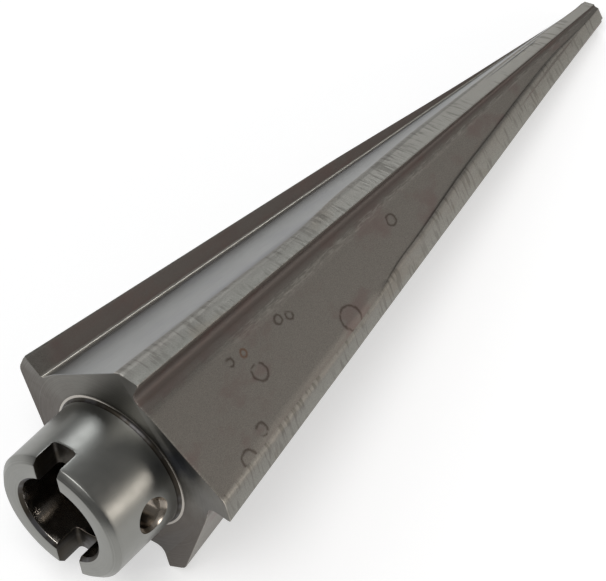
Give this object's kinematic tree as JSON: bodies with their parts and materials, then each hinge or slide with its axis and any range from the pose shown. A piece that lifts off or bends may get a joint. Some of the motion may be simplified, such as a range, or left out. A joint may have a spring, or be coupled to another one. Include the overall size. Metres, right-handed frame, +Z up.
{
  "type": "taper reamer",
  "caption": "Straight-fluted taper reamer in one piece of steel, with a bored and slotted driving hub, for opening holes and deburring pipe.",
  "frame": {"origin": "middle of the base rectangle, on the surface that the reamer lies on", "axes": "+Z up, +X along the reamer's length from the hub towards its small end, +Y across it"},
  "size_m": [0.1848, 0.0552, 0.0523],
  "materials": {
    "tool_steel": "milled and ground, lightly oxidised, with a few thin rust marks"
  },
  "bodies": {
    "root": {"taper_reamer": "tool_steel"}
  },
  "joints": []
}
